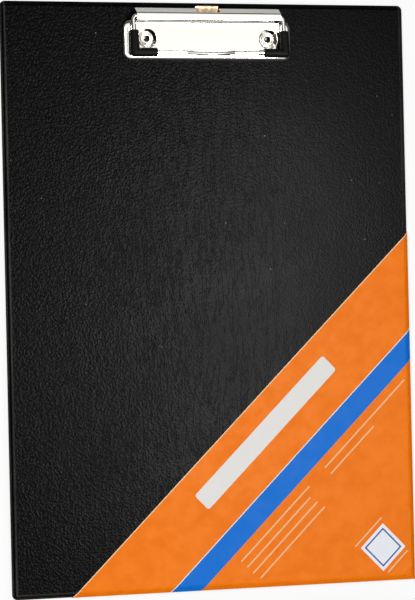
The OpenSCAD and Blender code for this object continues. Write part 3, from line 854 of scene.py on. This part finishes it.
def makeSleeve(name, side, node, material):
    # L tube: at an angle round the section the surface lies u outside the wire's line and w above it, so
    # its line is the L moved out by u, with its corner rounded; the bore goes back along the same way
    arm, R, bore = sleeve["arm"] - sleeve["outer"] / 2, sleeve["outer"] / 2, bail["wire"] / 2 + sleeve["fit"]
    angles = np.arange(sleeve["sections"]) * 2 * np.pi / sleeve["sections"]
    endTurn = np.radians(np.linspace(0, 90, 5))
    ends = sleeve["round"] * (1 - np.sin(endTurn))
    along = np.concatenate([[0], ends[::-1], [2.0, 4.5, 7.0, 9.0]])
    radius = np.concatenate([[bore + 0.15], R - sleeve["round"] + np.sqrt(np.maximum(
        sleeve["round"] ** 2 - (sleeve["round"] - ends[::-1]) ** 2, 0)), [R] * 4])
    corner = np.radians(np.linspace(90, 0, 13))

    def skin(radius, along, bend):
        # straight stations down one arm, the arc, and the other arm's stations back
        n = len(along)
        r = np.concatenate([radius, np.full(len(corner), radius[-1]), radius[::-1]])[:, None]
        u, w = r * np.cos(angles), r * np.sin(angles)
        rho = bend(u)
        x, y = u.copy(), u.copy()
        x[:n] = -(arm - along)[:, None]
        y[-n:] = -(arm - along[::-1])[:, None]
        mid = slice(n, n + len(corner))
        x[mid] = u[mid] - rho[mid] * (1 - np.cos(corner)[:, None])
        y[mid] = u[mid] - rho[mid] * (1 - np.sin(corner)[:, None])
        return np.stack([x, y, w], -1)

    outer = skin(radius, along, lambda u: np.maximum(u * 0.85, 0.35))
    inner = skin(np.full(2, bore), np.array([0.15, 6.0]), lambda u: bail["barBend"] + u)
    rows = np.concatenate([outer, inner[::-1], outer[:1]])
    rows = rows + [bail["span"] / 2, bail["reach"], 0]
    points = fromBailPlane(rows).reshape(-1, 3)
    faces = [gridFaces(len(rows), len(angles), wrap=True).reshape(-1, 4)]
    points = points * [side, 1, 1]
    points, faces = weld(points, faces)
    makePiece(name, points, faces, "bail", [node], material, 50)


def rubberMaterial():
    # matt black rubber: fine moulded grain and a little dust
    material, tree, shader = newMaterial("sleeveRubber", Specular_IOR_Level=0.06)
    place = placeInMillimetres(tree)
    fine = put(tree, "TexNoise", Vector=place, Scale=2.2, Detail=4.0, Roughness=0.65).outputs["Fac"]
    specks = useGroup(tree, dust, Vector=place, Spacing=3.0, Size=0.2, Amount=0.3)["Mask"]
    colour = paint(tree, (0.004, 0.0042, 0.004, 1), (0.009, 0.009, 0.0085, 1), fade(tree, fine, 0.4, 0.65))
    tree.links.new(paint(tree, colour, (0.12, 0.12, 0.11, 1), specks), shader.inputs["Base Color"])
    tree.links.new(fade(tree, fine, 0.3, 0.7, 0.42, 0.6), shader.inputs["Roughness"])
    bumped(tree, shader, fine, 0.25, 0.00006)
    return material


makeBail(chromeMaterial("wireChrome", (0.93, 0.92, 0.89, 1), 0.05, 0.4))
rubber = rubberMaterial()
makeSleeve("rubberRight", 1, "rubber_corner_right", rubber)
makeSleeve("rubberLeft", -1, "rubber_corner_left", rubber)
print("bail done, resting at", round(float(np.degrees(slope)), 2), "degrees")


# hanger

hanger = {
    "width": 13.2,
    "thick": 0.8,
    "low": 5.1,  # underside, above the table
    "tip": 158.6,
    "arch": 0.5,
    "corner": 1.8,
    "lipDepth": 1.6,  # the end bent up as a finger lip
    "lipRise": 0.6,
    "hole": 7.0,
    "holeIn": 7.4,
    "stopWidth": 20.0,
    "stopDepth": 4.0,
    "inner": 132.0,  # inner end of the stop
    "bevel": 0.14,
}


def makeHanger(material):
    # flat strip: a tip with an arched end and round corners, bent up as a lip, the hole, and the wider stop
    half, corner, tipY = hanger["width"] / 2, hanger["corner"], hanger["tip"]
    archRadius = (half ** 2 + hanger["arch"] ** 2) / (2 * hanger["arch"])
    turn = np.radians(np.linspace(90, 0, 7))
    side = half - corner + corner * np.sin(turn)
    across = np.concatenate([-side, np.linspace(corner - half, half - corner, 8)[1:-1], side[::-1]])
    bound = np.abs(across) - (half - corner)
    end = tipY - corner + np.sqrt(np.maximum(corner ** 2 - np.maximum(bound, 0) ** 2, 0))
    end = np.minimum(end, tipY - archRadius + np.sqrt(archRadius ** 2 - across ** 2))
    neck = tipY - corner - 0.3
    reach = neck - (tipY - hanger["holeIn"])
    share = np.linspace(0, 1, 13)[:, None]
    lipY = neck + share * (end - neck)
    lip = np.stack(np.broadcast_arrays(across[None], lipY, 0.0), -1).reshape(-1, 3)

    holeAt = np.array([0, neck - reach])
    up = np.linspace(-reach, reach, 9)
    count = len(across)
    loop = np.concatenate([np.stack([across, np.full(count, -reach)], 1)[:-1],
                           np.stack([np.full(9, half), up], 1)[:-1],
                           np.stack([across, np.full(count, reach)], 1)[:0:-1],
                           np.stack([np.full(9, -half), up], 1)[:0:-1]])
    r = hanger["hole"] / 2
    ring = ringPatch(holeAt, loop, [(r + 1.1, 0), (r, 0)])
    ring[0][: len(loop), 2] = 0

    stopHalf, root = hanger["stopWidth"] / 2, holeAt[1] - reach
    columns = np.concatenate([[-stopHalf], across, [stopHalf]])
    rows = np.concatenate([hanger["inner"] + hanger["stopDepth"] * np.linspace(0, 1, 3),
                           np.linspace(hanger["inner"] + hanger["stopDepth"], root, 5)[1:]])
    strip = np.stack(np.broadcast_arrays(columns[None], rows[:, None], 0.0), -1).reshape(-1, 3)
    cells = gridFaces(len(rows), len(columns))
    middle = strip[cells].mean(2)
    kept = (np.abs(middle[..., 0]) < half) | (middle[..., 1] < hanger["inner"] + hanger["stopDepth"])
    flat, faces = joined([(lip, gridFaces(13, count)), ring, (strip, cells[kept])])
    flat, faces = weld(flat, faces)

    # both skins of the lip bend up round one centre, the lower one on the wider circle
    depth, rise = hanger["lipDepth"], hanger["lipRise"]
    lipRadius = (depth ** 2 + rise ** 2) / (2 * rise)
    out = np.maximum(flat[:, 1] - (tipY - depth), 0)

    def lifted(height, radius):
        z = hanger["low"] + height + radius - np.sqrt(radius ** 2 - out ** 2)
        return np.column_stack([flat[:, :2], z])

    upper, lower = lifted(hanger["thick"], lipRadius), lifted(0, lipRadius + hanger["thick"])
    points, faces = shell(upper, lower, faces)
    piece = makePiece("hangerTab", points, faces, "hanger_tab", ["hanger"], material, 30)
    bevel = piece.modifiers.new("edges", "BEVEL")
    bevel.width = hanger["bevel"] * mm
    bevel.segments = 2
    bevel.limit_method = "ANGLE"
    bevel.angle_limit = np.radians(50)


def hangerMaterial():
    # brass-toned plated strip, tarnished in patches
    material, tree, shader = newMaterial("hangerStrip", Metallic=1.0)
    place = placeInMillimetres(tree)
    marks = useGroup(tree, scuff, Vector=place, Scale=0.9, Amount=0.9)
    patches = put(tree, "TexNoise", Vector=place, Scale=0.45, Detail=4.0, Roughness=0.6).outputs["Fac"]
    colour = paint(tree, (0.24, 0.175, 0.105, 1), (0.11, 0.078, 0.046, 1), fade(tree, patches, 0.4, 0.62))
    tree.links.new(colour, shader.inputs["Base Color"])
    tree.links.new(maths(tree, "MULTIPLY_ADD", marks["Rough"], 0.2, 0.22), shader.inputs["Roughness"])
    bumped(tree, shader, marks["Scratch"], 0.3, 0.00003)
    return material


makeHanger(hangerMaterial())
print("hanger done")


# paper wrap

wrap = {
    "width": 197.0,  # along the bottom edge
    "length": 193.5,  # along the right edge
    "thick": 0.2,
    "gap": 0.05,
    "flap": 20.0,
    "foldIn": 2.282,  # where the paper leaves the face, from the lip's edge
    "step": 2.6,
    "softFold": 0.12,
    # creases near the corner: direction in radians, distance from the corner, half width, height
    "creases": ((0.35, 4.2, 1.1, 0.30), (1.25, 3.6, 0.9, -0.22), (0.80, 7.5, 1.4, 0.20),
                (2.20, 1.0, 0.8, 0.24), (0.10, 8.5, 1.0, -0.12)),
    # dents along the bottom edge: distance from the right edge, half width, height
    "dents": ((36, 7.0, 0.16), (58, 5.0, 0.10)),
}
rightX, bottomY = board["width"] / 2, -board["length"] / 2


def crumple(x, y):
    # creases near the bottom right corner: each is a sharp fold line whose height falls off to both sides;
    # two soft dents follow along the bottom edge further left
    fromCorner = np.hypot(rightX - x, y - bottomY)
    height = np.zeros_like(x)
    for angle, offset, reach, size in wrap["creases"]:
        away = (rightX - x) * np.cos(angle) + (y - bottomY) * np.sin(angle) - offset
        height += size * np.maximum(0, 1 - np.abs(away) / reach)
    for back, reach, size in wrap["dents"]:
        away = x + 0.8 * (y - bottomY) - (rightX - back)
        height += size * np.maximum(0, 1 - np.abs(away) / reach) * np.maximum(0, 1 - (y - bottomY) / 9)
    return np.maximum(height, -0.04) * np.where(x < rightX - 22, 1, ease((13 - fromCorner) / 6))


def makeWrap(material):
    # paper over the front corner, folded round both edges onto the back. Rows and columns are paired so
    # that the slanting cut runs through grid points; the height is the lower of the two edges' profiles.
    share = np.linspace(0, 1, 6)
    gapAndPaper = wrap["gap"] + wrap["thick"]
    ratio = wrap["width"] / wrap["length"]

    def skin(d):
        def cutX(y):
            return rightX - wrap["width"] + (y - bottomY) * ratio

        def cutY(x):
            return bottomY + (x - rightX + wrap["width"]) / ratio

        foldRows = bottomY - d + share * (wrap["foldIn"] + d)
        foldColumns = (rightX + d - share * (wrap["foldIn"] + d))[::-1]
        stops = [cutX(foldRows[-1]), cutX(bottomY + wrap["flap"]), rightX - 40, rightX - wrap["flap"],
                 foldColumns[0]]
        steps = [0.9, wrap["step"], wrap["step"], 0.9]
        inner = [np.linspace(a, b, max(2, round((b - a) / step)), endpoint=False)[i == 0:]
                 for i, (a, b, step) in enumerate(zip(stops, stops[1:], steps))]
        x = np.concatenate([cutX(foldRows), *inner, foldColumns])
        y = np.concatenate([foldRows, cutY(np.concatenate([*inner, foldColumns]))])
        rise = (halfThick - board["lipHalf"]) / (wrap["foldIn"] + d)
        top = halfThick + d
        slopeX = board["lipHalf"] + d + (rightX + d - x) * rise
        slopeY = board["lipHalf"] + d + (y - bottomY + d) * rise

        def soft(slope):
            # the lower of slope and top, with the fold between them rounded
            k = wrap["softFold"]
            low = np.minimum(slope, top)
            return low - k * np.log1p(np.exp(-np.abs(slope - top) / k))

        X, Y = np.meshgrid(x, y, indexing="ij")
        Z = np.minimum(soft(slopeX)[:, None], soft(slopeY)[None])
        inside = Z > top - 0.5
        front = Z + np.where(inside, faceWave(X, Y), 0) + crumple(X, Y)
        return X, Y, front, Z

    def sheet(d):
        X, Y, front, back = skin(d)
        return np.concatenate([np.stack([X, Y, front], -1).reshape(-1, 3),
                               np.stack([X, Y, -back], -1).reshape(-1, 3)]), X, Y

    outer, X, Y = sheet(gapAndPaper)
    inner, _, _ = sheet(wrap["gap"])
    n = len(X)
    # columns run along the first index, so the quads of the front face up when taken the other way round
    cells = gridFaces(n, n)[..., ::-1]
    i, j = np.meshgrid(np.arange(n - 1), np.arange(n - 1), indexing="ij")
    full = cells[j < i]
    # of a cell on the cut only the corners (i, i), (i + 1, i) and (i + 1, i + 1) remain
    start = np.arange(n - 1) * (n + 1)
    triangles = np.stack([start, start + n, start + n + 1], 1)
    middleX = (X[:-1] + X[1:])[:, :-1] / 2
    middleY = ((Y[:, :-1] + Y[:, 1:]) / 2)[:-1]
    onFlap = (middleX > rightX - wrap["flap"]) | (middleY < bottomY + wrap["flap"])
    backFull = cells[(j < i) & onFlap][:, ::-1] + n * n
    backTriangles = triangles[np.diagonal(onFlap)][:, ::-1] + n * n
    edge = (n - 1) * n + np.arange(n - 1)
    rightStrip = np.stack([edge, edge + n * n, edge + 1 + n * n, edge + 1], 1)
    edge = np.arange(n - 1) * n
    bottomStrip = np.stack([edge, edge + n * n, edge + n + n * n, edge + n], 1)
    faces = [np.concatenate([full, backFull, rightStrip, bottomStrip]),
             np.concatenate([triangles, backTriangles])]

    # unfolded places for the print: the back's points are turned over the nearer edge
    flatX, flatY = X.ravel(), Y.ravel()
    overRight = rightX - flatX < flatY - bottomY
    unfolded = np.concatenate([np.stack([flatX, flatY], 1),
                               np.stack([np.where(overRight, 2 * rightX - flatX, flatX),
                                         np.where(overRight, flatY, 2 * bottomY - flatY)], 1)])
    outer, faces, inner, unfolded = weld(outer, faces, inner, unfolded)
    points, faces = shell(outer, inner, faces)
    points[:, 2] += board["middleZ"]
    piece = makePiece("paperWrap", points, faces, "board", ["corner_label"], material, 38)
    layer = piece.data.uv_layers.new(name="print")
    corners = np.zeros(len(piece.data.loops), np.int32)
    piece.data.loops.foreach_get("vertex_index", corners)
    both = np.concatenate([unfolded, unfolded]) * mm
    layer.data.foreach_set("uv", both[corners].astype(np.float32).ravel())


printing = {
    # along and across are measured from the cut's lower end, along the cut and square to it
    "orange": (0.955, 0.212, 0.003, 1),
    "blue": (0.003, 0.165, 0.66, 1),
    "white": (0.80, 0.78, 0.75, 1),
    "stripe": (38.9, 50.7),
    "keyline": 0.55,
    "bar": (138.5, 17.2, 53.0, 5.6, 1.6),  # middle along and across, both half sizes and the corner
    # ruled lines from, to and across
    "lines": [(78, 134.5, 56.2), (78, 130.5, 60.9), (78, 131.5, 65.6), (79, 132.5, 70.6),
              (148, 215.5, 55.8), (148, 184.5, 60.6), (129, 151, 99.3), (132, 148.5, 123.4)],
    "lineHalf": 0.42,
    "square": (139.9, 111.5, 9.4),  # middle along and across, and half a side
}


def paperMaterial():
    # semi-gloss print: orange ground, blue stripe, pale key lines, a blank bar, ruled lines and a square
    material, tree, shader = newMaterial("printedPaper", Specular_IOR_Level=0.04)
    place = placeInMillimetres(tree)
    spot = put(tree, "VectorMath", {"operation": "SCALE"}, Scale=1 / mm,
               i0=put(tree, "UVMap", {"uv_map": "print"}).outputs[0]).outputs[0]
    direction = unit(np.array([wrap["width"], wrap["length"]]))
    origin = np.array([rightX - wrap["width"], bottomY])

    def measured(vector):
        # distance from the origin along a direction
        dot = put(tree, "VectorMath", {"operation": "DOT_PRODUCT"}, i0=spot, i1=(*vector, 0))
        return maths(tree, "SUBTRACT", dot.outputs["Value"], float(origin @ vector))

    along, across = measured(direction), measured(np.array([direction[1], -direction[0]]))
    marks = useGroup(tree, fibre, Vector=place, Scale=1.6)
    deeper = [0.93 * printing["orange"][0], 0.86 * printing["orange"][1], printing["orange"][2], 1]
    colour = paint(tree, printing["orange"], deeper, fade(tree, marks["Cloud"], 0.3, 0.75))

    def band(low, high, ink, colour, soft=0.06):
        after = fade(tree, across, low - soft, low + soft)
        before = fade(tree, across, high - soft, high + soft, 1.0, 0.0)
        return paint(tree, colour, ink, maths(tree, "MULTIPLY", after, before))

    def box(middleAlong, middleAcross, halfAlong, halfAcross, corner, ink, colour):
        mask = useGroup(tree, printedBox, Along=along, Across=across,
                        **{"Middle Along": middleAlong, "Middle Across": middleAcross,
                           "Half Along": halfAlong, "Half Across": halfAcross, "Corner": corner})["Mask"]
        return paint(tree, colour, ink, mask)

    low, high = printing["stripe"]
    pale, thin = printing["white"], printing["keyline"]
    colour = band(low - thin, high, pale, colour)
    colour = band(low, high, printing["blue"], colour)
    colour = band(-1.0, thin, (0.93, 0.62, 0.36, 1), colour)
    colour = box(*printing["bar"], pale, colour)
    for start, stop, middle in printing["lines"]:
        colour = box((start + stop) / 2, middle, (stop - start) / 2, printing["lineHalf"], 0.3,
                     (0.93, 0.52, 0.26, 1), colour)
    a, b, half = printing["square"]
    colour = box(a, b, half, half, 0.4, (0.86, 0.87, 0.92, 1), colour)
    colour = box(a, b, half - 1.7, half - 1.7, 0.3, (0.03, 0.08, 0.34, 1), colour)
    colour = box(a, b, half - 2.5, half - 2.5, 0.3, (0.84, 0.87, 0.93, 1), colour)
    # ink rubbed off along the fold at the right and bottom edges
    axes = put(tree, "SeparateXYZ", Vector=place).outputs
    fromSide = maths(tree, "SUBTRACT", rightX, axes[0])
    fromEnd = maths(tree, "SUBTRACT", axes[1], bottomY)
    nearEdge = fade(tree, maths(tree, "MINIMUM", fromSide, fromEnd), 0.2, 2.8, 1.0, 0.0)
    worn = maths(tree, "MULTIPLY", nearEdge, fade(tree, marks["Height"], 0.62, 0.74))
    colour = paint(tree, colour, (0.75, 0.42, 0.24, 1), maths(tree, "MULTIPLY", worn, 0.5))
    tree.links.new(colour, shader.inputs["Base Color"])
    tree.links.new(fade(tree, marks["Cloud"], 0.3, 0.7, 0.38, 0.5), shader.inputs["Roughness"])
    bumped(tree, shader, marks["Height"], 0.25, 0.00004)
    return material


makeWrap(paperMaterial())
print("paper wrap done")


# table, light and camera

stage = {
    "floorSize": 8.0,  # metres, as all of this part
    "floorColour": (0.45, 0.45, 0.45, 1),  # for the light that bounces off it
    "floorSeen": (0.9, 0.9, 0.9, 1),
    "floorGlow": 0.8,  # share of plain white that the camera sees
    "floorMirrored": 0.08,  # and that metal mirrors
    "skyBright": 1.06,
    "skyDark": 0.06,
    "skyRise": (0.55, 0.82),  # height of the direction, dark to bright
    "skyRear": (0.75, 0.45),  # its part towards the clip's end, dark to bright
    "gapMiddle": (-0.19, 0.0),  # dark gap round the camera, as the direction's x and y
    "gapReach": (0.17, 0.06),
    "keyPlace": (-0.70, 0.10, 1.30),
    "keySize": (0.35, 0.6),
    "keyPower": 10.0,
    "stripPlace": (0.205, -0.038, 0.6),
    "stripSize": (0.14, 0.38),
    "stripPower": 5.4,
}
camera = {
    "turn": 17.37,  # degrees to the left of square on
    "tilt": -0.29,
    "roll": -1.30,
    "distance": 1.457,
    "lens": 160.08,
    "shift": (-0.0065, -0.0065),
}


def makeFloor():
    half = stage["floorSize"] / 2
    mesh = bpy.data.meshes.new("floor")
    corners = [(-half, -half, 0), (half, -half, 0), (half, half, 0), (-half, half, 0)]
    mesh.from_pydata(corners, [], [(0, 1, 2, 3)])
    floor = bpy.data.objects.new("floor", mesh)
    scene.collection.objects.link(floor)
    material, tree, shader = newMaterial("floor", Roughness=0.9, Specular_IOR_Level=0.0)
    glow = put(tree, "Emission", Color=(1, 1, 1, 1), Strength=1.0)
    path = put(tree, "LightPath").outputs
    tree.links.new(paint(tree, stage["floorColour"], stage["floorSeen"], path["Is Camera Ray"]),
                   shader.inputs["Base Color"])
    mirrored = maths(tree, "MAXIMUM", path["Is Glossy Ray"], path["Is Transmission Ray"])
    share = maths(tree, "MAXIMUM", maths(tree, "MULTIPLY", path["Is Camera Ray"], stage["floorGlow"]),
                  maths(tree, "MULTIPLY", mirrored, stage["floorMirrored"]))
    blend = put(tree, "MixShader", i0=share, i1=shader.outputs[0], i2=glow.outputs[0])
    tree.links.new(blend.outputs[0], tree.nodes["Material Output"].inputs["Surface"])
    mesh.materials.append(material)


def makeSky():
    # soft light from above, dark towards the horizon, behind the clip and round the camera, so that the
    # metal has something dark to mirror; the camera itself sees plain white
    world = bpy.data.worlds.new("sky")
    scene.world = world
    world.use_nodes = True
    tree = world.node_tree
    x, y, z = put(tree, "SeparateXYZ", Vector=put(tree, "TexCoord").outputs["Generated"]).outputs[:3]
    above = maths(tree, "MULTIPLY", fade(tree, z, *stage["skyRise"]), fade(tree, y, *stage["skyRear"]))
    gapX, gapY = stage["gapMiddle"]
    square = [maths(tree, "POWER", maths(tree, "ABSOLUTE", maths(tree, "SUBTRACT", part, middle)), 2.0)
              for part, middle in ((x, gapX), (y, gapY))]
    fromGap = maths(tree, "SQRT", maths(tree, "ADD", *square))
    outside = fade(tree, fromGap, stage["gapReach"][1], stage["gapReach"][0])
    level = maths(tree, "MULTIPLY", above, outside)
    level = maths(tree, "MULTIPLY_ADD", level, stage["skyBright"] - stage["skyDark"], stage["skyDark"])
    light = tree.nodes["Background"]
    light.inputs["Color"].default_value = (1, 1, 1, 1)
    tree.links.new(level, light.inputs["Strength"])
    white = put(tree, "Background", Color=(1, 1, 1, 1), Strength=1.0)
    direct = put(tree, "LightPath").outputs["Is Camera Ray"]
    blend = put(tree, "MixShader", i0=direct, i1=light.outputs[0], i2=white.outputs[0])
    tree.links.new(blend.outputs[0], tree.nodes["World Output"].inputs["Surface"])


def makeLamp(name, back):
    # rectangular lamp whose back points along the given direction
    lamp = bpy.data.lights.new(name, "AREA")
    lamp.shape = "RECTANGLE"
    lamp.size, lamp.size_y = stage[name + "Size"]
    lamp.energy = stage[name + "Power"]
    holder = bpy.data.objects.new(name, lamp)
    scene.collection.objects.link(holder)
    back = unit(np.array(back, float))
    side = unit(np.cross([0, 1, 0], back))
    turned = np.column_stack([side, np.cross(back, side), back, stage[name + "Place"]])
    holder.matrix_world = Matrix(np.vstack([turned, [0, 0, 0, 1]]).tolist())
    return holder


def makeCamera():
    turn, tilt, roll = np.radians([camera["turn"], camera["tilt"], camera["roll"]])
    back = np.array([-np.sin(turn) * np.cos(tilt), np.sin(tilt), np.cos(turn) * np.cos(tilt)])
    right = unit(np.cross(-back, [0, 1, 0]))
    up = np.cross(right, -back)
    across = np.cos(roll) * right + np.sin(roll) * up
    upwards = -np.sin(roll) * right + np.cos(roll) * up
    place = camera["distance"] * back + [0, 0, board["middleZ"] * mm]
    lens = bpy.data.cameras.new("camera")
    lens.sensor_width = 36
    lens.lens = camera["lens"]
    lens.shift_x, lens.shift_y = camera["shift"]
    lens.clip_start, lens.clip_end = 0.05, 20
    eye = bpy.data.objects.new("camera", lens)
    scene.collection.objects.link(eye)
    turned = np.column_stack([across, upwards, back, place])
    eye.matrix_world = Matrix(np.vstack([turned, [0, 0, 0, 1]]).tolist())
    scene.camera = eye


makeFloor()
makeSky()
makeLamp("key", stage["keyPlace"])  # high on the left, aimed at the board
strip = makeLamp("strip", (0, 0, 1))  # over the right half; it adds only the sheen, no diffuse light
strip.visible_diffuse = False
makeCamera()
scene.view_settings.view_transform = "Standard"
print("stage, light and camera done")
